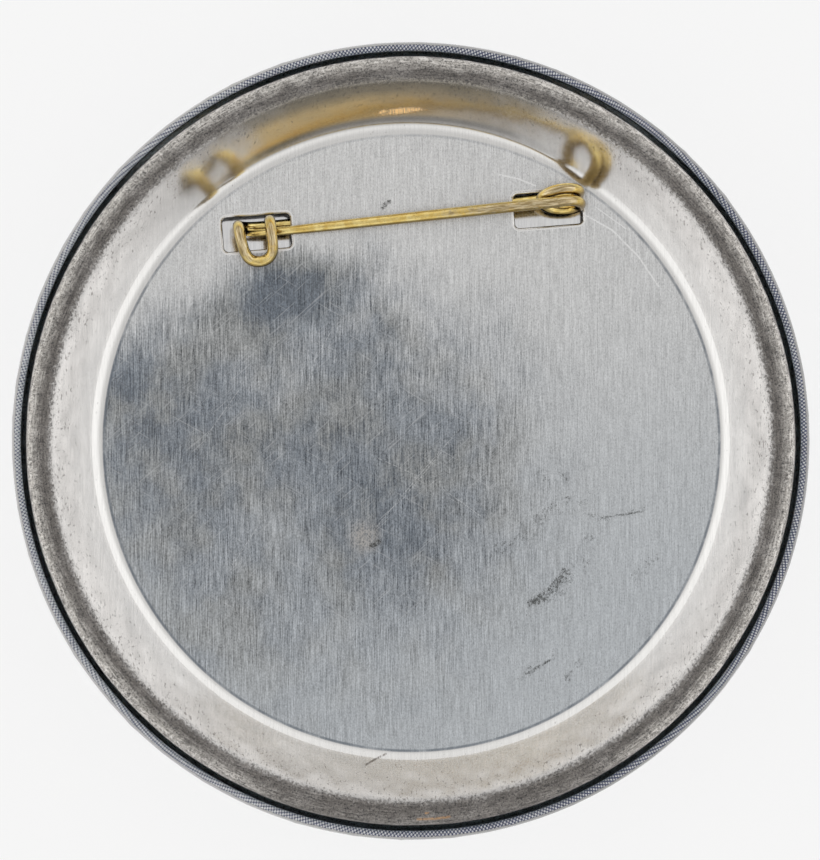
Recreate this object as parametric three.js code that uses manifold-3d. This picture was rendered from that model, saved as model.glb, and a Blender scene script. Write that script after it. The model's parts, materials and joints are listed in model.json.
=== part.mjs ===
// A 2 1/4 inch pin-back button badge, in millimetres, lying face down with its back up (+Z).
// The origin is on the surface that the badge lies on, under its middle. +X runs along the line of the
// two wire slots, from the catch to the coil, and +Y points to the edge of the badge that they are near.
import * as THREE from 'three';
import { mergeVertices } from 'three/addons/utils/BufferGeometryUtils.js';
import Module from 'manifold-3d';

const wasm = await Module();
wasm.setup();

// Driving dimensions
const BADGE_DIAMETER = 57.15;

// How finely curves are divided
const SEGMENTS = 56; // sides of every turned piece
const DOME_STEPS = 3;
const SHOULDER_STEPS = 4;
const EDGE_STEPS = 4; // round the shell's raw edge
const PLATE_ROUND_STEPS = 3; // each fillet and round of the back plate
const SLOT_CORNER_STEPS = 3;
const WIRE_SIDES = 8;
const WIRE_STEP = 0.52; // length of each straight piece of the bent wire
const ARM_SIDES = 12;
const COIL_STEPS_PER_TURN = 24;
const WELD_DISTANCE = 1e-5; // vertices nearer than this become one

const FILM = 0.06; // thickness of the clear film
const PAPER = 0.1; // thickness of the printed paper
const SHELL_SHEET = 0.22; // tinplate of the front shell
const PLATE_SHEET = 0.25; // tinplate of the back plate
const LAYER_GAP = 0.02; // air between film, paper and shell

const FACE_FLAT_RADIUS = 8; // the middle of the face is flat
const DOME_RADIUS = 100; // the rest of the face is domed to this radius
const SHOULDER_RADIUS = 2.6;
const WALL_HEIGHT = 1.2; // straight part of the shell's side wall
const WALL_LEAN = THREE.MathUtils.degToRad(3); // the crimped wall leans inwards
const FILM_TUCK = 1.35; // how far the film is tucked in behind the wall
const PAPER_TUCK = 1.2;

const PANEL_Z = 3.9; // upper face of the recessed panel
const RIM_Z = 7.3; // top of the raised rim
const PANEL_RADIUS = 21.95;
const FILLET_RADIUS = 1.3; // between the panel and the sloped wall
const RIM_INNER_ROUND = 0.9;
const RIM_OUTER_ROUND = 0.55;
const PLATE_RADIUS = 27.5;
const FLANGE_STRAIGHT_Z = 5.0; // below this the flange flares out under the tucked film
const FLANGE_END_Z = 4.45;
const FLANGE_FLARE = 0.37;

const SLOT_LENGTH = 4.87;
const SLOT_WIDTH = 2.45;
const SLOT_CORNER = 0.35;
const SLOT_MIDDLE_X = 0.69;
const SLOT_Y = 15.77;
const SLOT_SPACING = 20.92; // between the middles of the two slots

const WIRE_RADIUS = 0.4;
const RUN_CLEARANCE = 0.03;
const RUN_Z = PANEL_Z - PLATE_SHEET - WIRE_RADIUS - RUN_CLEARANCE; // the run lies just under the panel

const COIL_X = 12.1; // middle of the coil
const COIL_START_Y = 16.5;
const COIL_START_Z = PANEL_Z - 0.38;
const COIL_RADIUS = 1.386;
const COIL_PITCH = 0.92;
const COIL_LEAN = THREE.MathUtils.degToRad(21); // the coil's top leans towards +Y
const COIL_TURNS = 1.52;
const COIL_APPROACH_DROP = 0.12; // the run's last point is this far below the start of the coil

const ARM_TIP = new THREE.Vector3(-10.52, 15.65, PANEL_Z + 0.42);
const ARM_HINGE_LEAN = THREE.MathUtils.degToRad(20); // between the arm and the line that it swings about
const HINGE_CUT_GAP = 0.05;
const WIRE_OVERRUN = 0.35; // extra length of the fixed wire past the hinge, which the mitre takes off
const ARM_OVERLAP = 0.5; // extra length of the arm behind the hinge, which the mitre takes off
const CUTTER_WIDTH = 1.6;
const CUTTER_HEIGHT = 2.3 * WIRE_RADIUS;
const CUTTER_LENGTH = 1.2;
const SLOT_CUTTER_DEPTH = 2;

// The arm's radius at shares of its length, from its root to its point
const ARM_TAPER = [
  [0, WIRE_RADIUS],
  [0.3, WIRE_RADIUS],
  [0.78, 0.35],
  [0.92, 0.28],
  [0.985, 0.18],
  [0.998, 0.09],
];

// Turns a three.js geometry into a closed solid that can be cut.
function toSolid(geometry) {
  const bare = geometry.clone();
  bare.deleteAttribute('normal');
  bare.deleteAttribute('uv');
  const merged = mergeVertices(bare, WELD_DISTANCE);
  const mesh = new wasm.Mesh({
    numProp: 3,
    vertProperties: Float32Array.from(merged.attributes.position.array),
    triVerts: Uint32Array.from(merged.index.array),
  });
  return new wasm.Manifold(mesh);
}

function toGeometry(solid) {
  const mesh = solid.getMesh();
  const geometry = new THREE.BufferGeometry();
  geometry.setAttribute('position', new THREE.BufferAttribute(mesh.vertProperties, 3));
  geometry.setIndex(new THREE.BufferAttribute(mesh.triVerts, 1));
  geometry.computeVertexNormals();
  return geometry;
}

// Points of an arc in the (radius, height) plane; angle 0 points outwards and 90 degrees points up.
function arc(centreR, centreZ, radius, fromDeg, toDeg, steps) {
  const points = [];
  for (let i = 0; i <= steps; i += 1) {
    const angle = THREE.MathUtils.degToRad(fromDeg + ((toDeg - fromDeg) * i) / steps);
    points.push(new THREE.Vector2(centreR + radius * Math.cos(angle), centreZ + radius * Math.sin(angle)));
  }
  return points;
}

// A closed section turned about +Z.
function turned(profile) {
  const geometry = new THREE.LatheGeometry(profile, SEGMENTS);
  geometry.rotateX(Math.PI / 2);
  return geometry;
}

// The front: three skins that follow one outline, each a set distance outside the shell's outer face.
const COVER = LAYER_GAP + PAPER + LAYER_GAP + FILM; // paper and film together
const SHELL_WIDEST = BADGE_DIAMETER / 2 - COVER;
const SHOULDER_R = SHELL_WIDEST - SHOULDER_RADIUS;
const DOME_CENTRE_Z = COVER + DOME_RADIUS;
const SHOULDER_REACH = DOME_RADIUS - SHOULDER_RADIUS;
const SHOULDER_Z = DOME_CENTRE_Z - Math.sqrt(SHOULDER_REACH ** 2 - (SHOULDER_R - FACE_FLAT_RADIUS) ** 2);
const DOME_END_DEG = THREE.MathUtils.radToDeg(
  Math.atan2(SHOULDER_Z - DOME_CENTRE_Z, SHOULDER_R - FACE_FLAT_RADIUS),
);
const LEAN_DEG = THREE.MathUtils.radToDeg(WALL_LEAN);
const EDGE_RADIUS = SHELL_SHEET / 2; // the shell's raw edge is rounded over
const WALL_TOP_R = SHOULDER_R + SHOULDER_RADIUS * Math.cos(WALL_LEAN) - WALL_HEIGHT * Math.sin(WALL_LEAN);
const WALL_TOP_Z = SHOULDER_Z + SHOULDER_RADIUS * Math.sin(WALL_LEAN) + WALL_HEIGHT * Math.cos(WALL_LEAN);
const EDGE_R = WALL_TOP_R - EDGE_RADIUS * Math.cos(WALL_LEAN);
const EDGE_Z = WALL_TOP_Z - EDGE_RADIUS * Math.sin(WALL_LEAN);

// From the middle of the face out to the top of the wall, offset outwards by a distance.
function faceOutline(offset) {
  const dome = arc(FACE_FLAT_RADIUS, DOME_CENTRE_Z, DOME_RADIUS + offset, -90, DOME_END_DEG, DOME_STEPS);
  const shoulder = arc(
    SHOULDER_R,
    SHOULDER_Z,
    SHOULDER_RADIUS + offset,
    DOME_END_DEG,
    LEAN_DEG,
    SHOULDER_STEPS,
  );
  return [new THREE.Vector2(0, COVER - offset), ...dome, ...shoulder.slice(1)];
}

// Round the shell's raw edge, then down the inside of the wall for the tucked length.
function edgeOutline(offset, tuck) {
  const over = arc(EDGE_R, EDGE_Z, EDGE_RADIUS + offset, LEAN_DEG, LEAN_DEG + 180, EDGE_STEPS);
  const last = over[over.length - 1];
  const end = new THREE.Vector2(
    last.x + tuck * Math.sin(WALL_LEAN),
    last.y - tuck * Math.cos(WALL_LEAN),
  );
  return tuck > 0 ? [...over, end] : over;
}

function wrappedSkin(innerOffset, outerOffset, tuck) {
  const outer = [...faceOutline(outerOffset), ...edgeOutline(outerOffset, tuck)];
  const inner = [...faceOutline(innerOffset), ...edgeOutline(innerOffset, tuck)];
  return turned([...outer, ...inner.reverse()]);
}

function frontShell() {
  const outer = [...faceOutline(0), ...edgeOutline(0, 0)];
  const inner = faceOutline(-SHELL_SHEET);
  return turned([...outer, ...inner.reverse()]);
}

// The back plate: flat panel, fillet, 45 degree wall, rounded rim and a flange that flares at its end.
const FILLET_RISE = FILLET_RADIUS * (1 - Math.cos(Math.PI / 4));
const ROUND_FALL = RIM_INNER_ROUND * (1 - Math.cos(Math.PI / 4));
const WALL_RUN = RIM_Z - PANEL_Z - FILLET_RISE - ROUND_FALL;
const RIM_START_R = PANEL_RADIUS
  + (FILLET_RADIUS + RIM_INNER_ROUND) * Math.sin(Math.PI / 4) + WALL_RUN;

// The plate's upper face, or its lower face where depth is the sheet's thickness.
function plateOutline(depth) {
  const steps = PLATE_ROUND_STEPS;
  const flangeR = PLATE_RADIUS - depth;
  const rimOuterR = PLATE_RADIUS - RIM_OUTER_ROUND;
  return [
    new THREE.Vector2(0, PANEL_Z - depth),
    ...arc(PANEL_RADIUS, PANEL_Z + FILLET_RADIUS, FILLET_RADIUS + depth, -90, -45, steps),
    ...arc(RIM_START_R, RIM_Z - RIM_INNER_ROUND, RIM_INNER_ROUND - depth, 135, 90, steps),
    ...arc(rimOuterR, RIM_Z - RIM_OUTER_ROUND, RIM_OUTER_ROUND - depth, 90, 0, steps),
    new THREE.Vector2(flangeR, FLANGE_STRAIGHT_Z),
    new THREE.Vector2(flangeR + FLANGE_FLARE, FLANGE_END_Z),
  ];
}

function slotCutter(x) {
  const halfLength = SLOT_LENGTH / 2;
  const halfWidth = SLOT_WIDTH / 2;
  const corners = [[1, 1], [-1, 1], [-1, -1], [1, -1]];
  const shape = new THREE.Shape();
  corners.forEach(([sx, sy], i) => {
    const start = (i * Math.PI) / 2;
    shape.absarc(
      x + sx * (halfLength - SLOT_CORNER),
      SLOT_Y + sy * (halfWidth - SLOT_CORNER),
      SLOT_CORNER,
      start,
      start + Math.PI / 2,
      false,
    );
  });
  const geometry = new THREE.ExtrudeGeometry(shape, {
    depth: SLOT_CUTTER_DEPTH,
    bevelEnabled: false,
    curveSegments: SLOT_CORNER_STEPS,
  });
  geometry.translate(0, 0, PANEL_Z - SLOT_CUTTER_DEPTH / 2);
  return toSolid(geometry);
}

function backPlate() {
  let plate = toSolid(turned([...plateOutline(PLATE_SHEET), ...plateOutline(0).reverse()]));
  for (const side of [-1, 1]) {
    plate = plate.subtract(slotCutter(SLOT_MIDDLE_X + (side * SLOT_SPACING) / 2));
  }
  return toGeometry(plate);
}

// The coil, as a helix from its lowest point, turning about a leaning line that runs towards -Y.
function coilPoint(turns) {
  const angle = 2 * Math.PI * turns;
  const across = COIL_RADIUS * Math.sin(angle);
  const up = COIL_RADIUS * (1 - Math.cos(angle));
  const along = COIL_PITCH * turns;
  return new THREE.Vector3(
    COIL_X + across,
    COIL_START_Y + up * Math.sin(COIL_LEAN) - along * Math.cos(COIL_LEAN),
    COIL_START_Z + up * Math.cos(COIL_LEAN) + along * Math.sin(COIL_LEAN),
  );
}

// The fixed part of the wire: free end, two legs joined by a hairpin, run behind the panel, coil.
// The legs arch over the arm, and their heights are given from the panel's upper face.
const CATCH_ROUTE = [
  [-8.78, 16.5, -0.22],
  [-8.78, 16.53, 0.5],
  [-8.77, 16.52, 1.3],
  [-8.75, 16.32, 2.05],
  [-8.73, 15.65, 2.55],
  [-8.7, 14.95, 2.42],
  [-8.76, 14.3, 2.08],
  [-9.1, 13.84, 1.85],
  [-9.76, 13.66, 1.77],
  [-10.37, 13.86, 1.85],
  [-10.71, 14.4, 2.08],
  [-10.87, 15.05, 2.42],
  [-10.97, 15.7, 2.58],
  [-11.03, 16.2, 2.15],
  [-11.05, 16.34, 1.35],
  [-11.0, 16.32, 0.5],
  [-10.72, 16.24, -0.25],
  [-10.1, 16.18, -0.62],
].map(([x, y, z]) => new THREE.Vector3(x, y, PANEL_Z + z));

function wireTube(points) {
  const path = new THREE.CatmullRomCurve3(points, false, 'centripetal');
  const section = new THREE.Shape();
  section.absarc(0, 0, WIRE_RADIUS, 0, 2 * Math.PI, false);
  return new THREE.ExtrudeGeometry(section, {
    extrudePath: path,
    steps: Math.round(path.getLength() / WIRE_STEP),
    curveSegments: WIRE_SIDES / 2,
    bevelEnabled: false,
  });
}

// The arm swings about a line through its root that leans up from the arm, so that it first slides out
// sideways under the hairpin and then rises. The wire is cut across that line, as a mitre.
const HINGE = coilPoint(COIL_TURNS);
const ARM_DIRECTION = ARM_TIP.clone().sub(HINGE).normalize();
const ARM_ELEVATION = Math.asin(ARM_DIRECTION.z);
const ARM_HEADING = Math.atan2(ARM_DIRECTION.y, ARM_DIRECTION.x);
const HINGE_AXIS = new THREE.Vector3(
  Math.cos(ARM_ELEVATION + ARM_HINGE_LEAN) * Math.cos(ARM_HEADING),
  Math.cos(ARM_ELEVATION + ARM_HINGE_LEAN) * Math.sin(ARM_HEADING),
  Math.sin(ARM_ELEVATION + ARM_HINGE_LEAN),
);

// Removes the wire that lies just past the plane through a point, on its +direction side. The cutting
// block is narrow across the coil, so that it clears the neighbouring turn.
function trimmed(solid, point, direction) {
  const block = new THREE.BoxGeometry(CUTTER_WIDTH, CUTTER_HEIGHT, CUTTER_LENGTH);
  block.translate(0, 0, CUTTER_LENGTH / 2);
  block.applyQuaternion(new THREE.Quaternion().setFromUnitVectors(new THREE.Vector3(0, 0, 1), direction));
  block.translate(point.x, point.y, point.z);
  return solid.subtract(toSolid(block));
}

function pinWire() {
  const coil = [];
  const coilSteps = Math.round(COIL_TURNS * COIL_STEPS_PER_TURN);
  for (let i = 0; i <= coilSteps; i += 1) {
    coil.push(coilPoint((COIL_TURNS * i) / coilSteps));
  }
  const run = [
    new THREE.Vector3(-7.2, 16.18, RUN_Z),
    new THREE.Vector3(0, 16.3, RUN_Z),
    new THREE.Vector3(7.6, 16.42, RUN_Z),
    new THREE.Vector3(10.4, 16.48, COIL_START_Z - COIL_APPROACH_DROP),
  ];
  const beyond = HINGE.clone().addScaledVector(ARM_DIRECTION, WIRE_OVERRUN);
  const route = [...CATCH_ROUTE, ...run, ...coil, beyond];
  const tube = toSolid(wireTube(route));
  const cut = HINGE.clone().addScaledVector(HINGE_AXIS, -HINGE_CUT_GAP / 2);
  return toGeometry(trimmed(tube, cut, HINGE_AXIS));
}

// The arm tapers slightly along its length and ends in a point.
function pinArm() {
  const length = ARM_TIP.distanceTo(HINGE) + ARM_OVERLAP;
  const taper = ARM_TAPER.map(([share, radius]) => new THREE.Vector2(radius, length * share));
  const profile = [new THREE.Vector2(0, 0), ...taper, new THREE.Vector2(0, length)];
  const geometry = new THREE.LatheGeometry(profile, ARM_SIDES);
  const aim = new THREE.Quaternion().setFromUnitVectors(new THREE.Vector3(0, 1, 0), ARM_DIRECTION);
  geometry.applyQuaternion(aim);
  const start = HINGE.clone().addScaledVector(ARM_DIRECTION, -ARM_OVERLAP);
  geometry.translate(start.x, start.y, start.z);
  const cut = HINGE.clone().addScaledVector(HINGE_AXIS, HINGE_CUT_GAP / 2);
  return toGeometry(trimmed(toSolid(geometry), cut, HINGE_AXIS.clone().negate()));
}

const tinplate = new THREE.MeshStandardMaterial({ color: 0xb4b6b8, roughness: 0.35, metalness: 1 });
const shellTin = new THREE.MeshStandardMaterial({ color: 0xd4d6d8, roughness: 0.18, metalness: 1 });
const brass = new THREE.MeshStandardMaterial({ color: 0xc79b45, roughness: 0.25, metalness: 1 });
const printed = new THREE.MeshStandardMaterial({ color: 0x5d6a86, roughness: 0.7, metalness: 0 });
const polyester = new THREE.MeshStandardMaterial({
  color: 0xdfe3ea,
  roughness: 0.12,
  metalness: 0,
  transparent: true,
  opacity: 0.3,
});

function piece(name, geometry, material) {
  const mesh = new THREE.Mesh(geometry, material);
  mesh.name = name;
  return mesh;
}

const front = new THREE.Group();
front.add(
  piece('clear_film', wrappedSkin(COVER - FILM, COVER, FILM_TUCK), polyester),
  piece('printed_paper', wrappedSkin(LAYER_GAP, LAYER_GAP + PAPER, PAPER_TUCK), printed),
  piece('front_shell', frontShell(), shellTin),
);

const fastener = new THREE.Group();
fastener.add(piece('pin_wire', pinWire(), brass), piece('pin_arm', pinArm(), brass));

const badge = new THREE.Group();
badge.add(front, piece('back_plate', backPlate(), tinplate), fastener);

export default badge;
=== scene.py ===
"""A pin-back button badge lying face down, seen from its back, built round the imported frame.

Lengths are in millimetres inside the shape functions and are scaled to metres as each mesh is made.
"""

import json
import math
import random

import bmesh
import bpy
import numpy as np
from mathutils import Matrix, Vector, geometry, noise


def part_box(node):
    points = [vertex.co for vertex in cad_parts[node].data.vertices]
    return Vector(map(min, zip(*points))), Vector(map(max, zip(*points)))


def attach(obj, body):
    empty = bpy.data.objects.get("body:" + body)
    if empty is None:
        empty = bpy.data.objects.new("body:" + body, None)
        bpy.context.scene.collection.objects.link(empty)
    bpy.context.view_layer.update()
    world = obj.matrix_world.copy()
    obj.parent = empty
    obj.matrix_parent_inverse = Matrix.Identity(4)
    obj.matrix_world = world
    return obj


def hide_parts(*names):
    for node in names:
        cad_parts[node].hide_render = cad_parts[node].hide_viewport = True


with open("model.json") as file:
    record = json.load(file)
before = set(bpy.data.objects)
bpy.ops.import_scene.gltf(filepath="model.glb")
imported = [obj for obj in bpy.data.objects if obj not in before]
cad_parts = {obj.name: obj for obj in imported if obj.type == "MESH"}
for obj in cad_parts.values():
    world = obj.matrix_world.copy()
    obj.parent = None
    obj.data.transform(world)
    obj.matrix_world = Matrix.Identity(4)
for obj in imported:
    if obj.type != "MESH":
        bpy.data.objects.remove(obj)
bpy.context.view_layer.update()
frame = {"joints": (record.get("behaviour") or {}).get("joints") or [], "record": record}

MM = 0.001
FINE = 2  # how finely the turned pieces are divided

# Sizes, taken from the frame where it gives them.
mounts = {m["name"]: Vector(m["pos_m"]) / MM for m in frame["record"]["mounts"]}
BADGE_RADIUS = (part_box("clear_film")[1] / MM).x
PANEL_Z = mounts["back_panel"].z
RIM_Z = (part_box("back_plate")[1] / MM).z
HINGE = Vector(frame["joints"][0]["pos_m"]) / MM
ARM_TIP = Vector((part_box("pin_arm")[0].x / MM, 15.65, PANEL_Z + 0.42))

FILM = 0.06
PAPER = 0.10
SHELL_SHEET = 0.22
PLATE_SHEET = 0.25
LAYER_GAP = 0.02
COVER = LAYER_GAP + PAPER + LAYER_GAP + FILM

FACE_FLAT_RADIUS = 8.0
DOME_RADIUS = 100.0
SHOULDER_RADIUS = 2.6
WALL_HEIGHT = 1.2
WALL_LEAN = math.radians(3)
FILM_TUCK = 1.35
PAPER_TUCK = 1.2

PANEL_RADIUS = 21.95
FILLET_RADIUS = 1.3
RIM_INNER_ROUND = 0.9
RIM_OUTER_ROUND = 0.55
PLATE_RADIUS = 27.5
FLANGE_STRAIGHT_Z = 5.0
FLANGE_END_Z = 4.45
FLANGE_FLARE = 0.37

SLOT_HALF = (2.435, 1.225)
SLOT_CORNER = 0.35
SLOT_ROLL = 0.16  # radius of the edge that the punch rolled over
SLOT_Y = 15.77
SLOT_MIDDLE_X = 0.69
SLOT_SPACING = 20.92
SLOT_XS = (SLOT_MIDDLE_X - SLOT_SPACING / 2, SLOT_MIDDLE_X + SLOT_SPACING / 2)

WIRE_RADIUS = 0.4
RUN_CLEARANCE = 0.03
RUN_Z = PANEL_Z - PLATE_SHEET - WIRE_RADIUS - RUN_CLEARANCE
COIL_X = 12.1
COIL_START_Y = 16.5
COIL_START_Z = PANEL_Z - 0.38
COIL_RADIUS = 1.386
COIL_PITCH = 0.92
COIL_LEAN = math.radians(21)
COIL_TURNS = 1.52
COIL_APPROACH_DROP = 0.12

ROLL = math.radians(4.67)  # how far the line of the slots rises to the right in the camera's view


# ---------------------------------------------------------------- mesh building

def new_object(name, vertices, faces, sharp_deg=35):
    """A closed mesh from vertices in millimetres, with outward normals and smooth shading."""
    mesh = bpy.data.meshes.new(name)
    mesh.from_pydata([Vector(v) * MM for v in vertices], [], faces)
    bm = bmesh.new()
    bm.from_mesh(mesh)
    bmesh.ops.remove_doubles(bm, verts=bm.verts, dist=1e-7)
    bmesh.ops.recalc_face_normals(bm, faces=bm.faces)
    bm.to_mesh(mesh)
    bm.free()
    mesh.shade_smooth()
    mesh.set_sharp_from_angle(angle=math.radians(sharp_deg))
    obj = bpy.data.objects.new(name, mesh)
    bpy.context.scene.collection.objects.link(obj)
    return obj


def finish_piece(obj, material, body, node):
    """Gives a piece its material, hangs it on the body it rides on and hides the CAD piece it stands in for.
    """
    obj.data.materials.append(material)
    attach(obj, body)
    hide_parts(node)
    return obj


def store(obj, name, kind, values):
    """Keeps a value for each point of a mesh, for its material to read."""
    layer = obj.data.attributes.new(name, kind, "POINT")
    layer.data.foreach_set("vector" if kind == "FLOAT_VECTOR" else "value", values)


def within(value):
    """The value, held between 0 and 1."""
    return min(1.0, max(0.0, value))


def arc(centre_r, centre_z, radius, start_deg, end_deg, steps):
    """Points (r, z) of an arc, with the direction (nr, nz) that each faces."""
    points = []
    for i in range(steps + 1):
        angle = math.radians(start_deg + (end_deg - start_deg) * i / steps)
        nr, nz = math.cos(angle), math.sin(angle)
        points.append((centre_r + radius * nr, centre_z + radius * nz, nr, nz))
    return points


def revolve(name, profile, segments, shift=None):
    """Turns a closed profile about the badge's axis. shift(r, z, nr, nz, angle) moves a point, if given."""
    vertices, faces, rings = [], [], []
    for r, z, nr, nz in profile:
        if r < 1e-6:
            rings.append([len(vertices)] * segments)
            vertices.append((0.0, 0.0, z))
            continue
        ring = []
        for k in range(segments):
            angle = 2 * math.pi * k / segments
            dr, dz = shift(r, z, nr, nz, angle) if shift else (0.0, 0.0)
            ring.append(len(vertices))
            vertices.append(((r + dr) * math.cos(angle), (r + dr) * math.sin(angle), z + dz))
        rings.append(ring)
    for i, ring in enumerate(rings):
        after = rings[(i + 1) % len(rings)]
        if profile[i][0] < 1e-6 and profile[(i + 1) % len(rings)][0] < 1e-6:
            continue
        for k in range(segments):
            n = (k + 1) % segments
            corners = [ring[k], ring[n], after[n], after[k]]
            faces.append(list(dict.fromkeys(corners)))
    return new_object(name, vertices, faces)


# ---------------------------------------------------------------- front: film, paper and shell

SHELL_WIDEST = BADGE_RADIUS - COVER
SHOULDER_R = SHELL_WIDEST - SHOULDER_RADIUS
DOME_CENTRE_Z = COVER + DOME_RADIUS
SHOULDER_REACH = DOME_RADIUS - SHOULDER_RADIUS
SHOULDER_Z = DOME_CENTRE_Z - math.sqrt(SHOULDER_REACH ** 2 - (SHOULDER_R - FACE_FLAT_RADIUS) ** 2)
DOME_END_DEG = math.degrees(math.atan2(SHOULDER_Z - DOME_CENTRE_Z, SHOULDER_R - FACE_FLAT_RADIUS))
LEAN_DEG = math.degrees(WALL_LEAN)
EDGE_RADIUS = SHELL_SHEET / 2
WALL_TOP_R = SHOULDER_R + SHOULDER_RADIUS * math.cos(WALL_LEAN) - WALL_HEIGHT * math.sin(WALL_LEAN)
WALL_TOP_Z = SHOULDER_Z + SHOULDER_RADIUS * math.sin(WALL_LEAN) + WALL_HEIGHT * math.cos(WALL_LEAN)
EDGE_R = WALL_TOP_R - EDGE_RADIUS * math.cos(WALL_LEAN)
EDGE_Z = WALL_TOP_Z - EDGE_RADIUS * math.sin(WALL_LEAN)


def face_outline(offset):
    """From the middle of the face to the top of the wall, moved outwards by offset."""
    dome = arc(FACE_FLAT_RADIUS, DOME_CENTRE_Z, DOME_RADIUS + offset, -90, DOME_END_DEG, 10)
    shoulder = arc(SHOULDER_R, SHOULDER_Z, SHOULDER_RADIUS + offset, DOME_END_DEG, LEAN_DEG, 14)
    wall_r, wall_z, nr, nz = shoulder[-1]
    wall = []
    for i in range(1, 5):
        along = WALL_HEIGHT * i / 5
        wall.append((wall_r - along * math.sin(WALL_LEAN), wall_z + along * math.cos(WALL_LEAN), nr, nz))
    return [(0.0, COVER - offset, 0.0, -1.0), *dome, *shoulder[1:], *wall]


def edge_outline(offset, tuck):
    """Over the shell's raw edge and down the inside of its wall."""
    over = arc(EDGE_R, EDGE_Z, EDGE_RADIUS + offset, LEAN_DEG, LEAN_DEG + 180, 12)
    r, z, nr, nz = over[-1]
    down = []
    for i in range(1, 5):
        along = tuck * i / 4
        down.append((r + along * math.sin(WALL_LEAN), z - along * math.cos(WALL_LEAN), nr, nz))
    return over + down if tuck else over


def pleat_table(seed, count):
    """Places, widths and heights of the creases that film and paper form at the crimp."""
    draw = random.Random(seed)
    pleats = []
    for i in range(count):
        place = (i + draw.uniform(-0.35, 0.35)) * 2 * math.pi / count
        pleats.append((place, math.radians(draw.uniform(0.35, 1.1)), draw.uniform(0.008, 0.05)))
    return pleats


PLEATS = pleat_table(7, 52)
RIPPLE = 0.012  # height of the faint waviness between the creases
CREASE_START_Z = SHOULDER_Z - 0.6  # the creases begin at this height on the wall
CREASE_FULL_RISE = 1.6  # and are at their full height this much higher
INNER_BULGE = 0.055  # film and paper stand off the shell's raw edge by this much on its inner side
heights_so_far = {}


def pleat_height(angle):
    """How far the skins stand out at one place round the badge."""
    total = 0.0
    for place, width, height in PLEATS:
        gap = abs((angle - place + math.pi) % (2 * math.pi) - math.pi)
        if gap < 3 * width:
            total += height * math.exp(-((gap / width) ** 2))
    ripple = noise.noise(Vector((6 * math.cos(angle), 6 * math.sin(angle), 0.3)))
    return total + RIPPLE * (1 + ripple)


def crimp_shift(r, z, nr, nz, angle):
    """Creases stand out where the skins turn over the edge, and die away down the wall and inside it."""
    if z < CREASE_START_Z:
        return 0.0, 0.0
    key = round(angle, 6)
    if key not in heights_so_far:
        heights_so_far[key] = pleat_height(angle)
    rise = min(1.0, (z - CREASE_START_Z) / CREASE_FULL_RISE)
    outer_share = within((nr + 0.75) / 0.9)
    height = heights_so_far[key] * rise * rise * outer_share
    height += INNER_BULGE * max(0.0, -nr) * within((z - EDGE_Z + 0.6) / 0.5)
    return nr * height, nz * height


def add_flat_map(obj, profile_outer):
    """Stores where each point lay on the flat printed sheet, in millimetres, for the printing."""
    rs = [p[0] for p in profile_outer]
    zs = [p[1] for p in profile_outer]
    lengths = [0.0]
    for i in range(1, len(rs)):
        lengths.append(lengths[-1] + math.hypot(rs[i] - rs[i - 1], zs[i] - zs[i - 1]))
    points = np.array(list(zip(rs, zs)))
    values = []
    for vertex in obj.data.vertices:
        x, y, z = vertex.co / MM
        radius = math.hypot(x, y)
        nearest = int(np.argmin((points[:, 0] - radius) ** 2 + (points[:, 1] - z) ** 2))
        angle = math.atan2(y, x)
        values.extend((lengths[nearest] * math.cos(angle), lengths[nearest] * math.sin(angle), 0.0))
    store(obj, "flat_place", "FLOAT_VECTOR", values)


def skin_profile(inner, outer, tuck):
    """The outer side of a wrapped skin, and the whole closed section."""
    outside = face_outline(outer) + edge_outline(outer, tuck)
    inside = face_outline(inner) + edge_outline(inner, tuck)
    return outside, outside + inside[::-1]


def clear_film(material):
    _, profile = skin_profile(COVER - FILM, COVER, FILM_TUCK)
    obj = revolve("film_over_print", profile, 360 * FINE, crimp_shift)
    return finish_piece(obj, material, "badge", "clear_film")


def printed_paper(material):
    outside, profile = skin_profile(LAYER_GAP, LAYER_GAP + PAPER, PAPER_TUCK)
    obj = revolve("paper_disc", profile, 360 * FINE, crimp_shift)
    add_flat_map(obj, outside)
    return finish_piece(obj, material, "badge", "printed_paper")


def front_shell(material):
    profile = face_outline(0) + edge_outline(0, 0) + face_outline(-SHELL_SHEET)[::-1]
    obj = revolve("tin_shell", profile, 180 * FINE)
    return finish_piece(obj, material, "badge", "front_shell")


# ---------------------------------------------------------------- back plate

FILLET_RISE = FILLET_RADIUS * (1 - math.cos(math.pi / 4))
ROUND_FALL = RIM_INNER_ROUND * (1 - math.cos(math.pi / 4))
WALL_RUN = RIM_Z - PANEL_Z - FILLET_RISE - ROUND_FALL
RIM_START_R = PANEL_RADIUS + (FILLET_RADIUS + RIM_INNER_ROUND) * math.sin(math.pi / 4) + WALL_RUN
PANEL_MARGIN = 0.03  # a narrow flat ring inside the fillet


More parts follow.
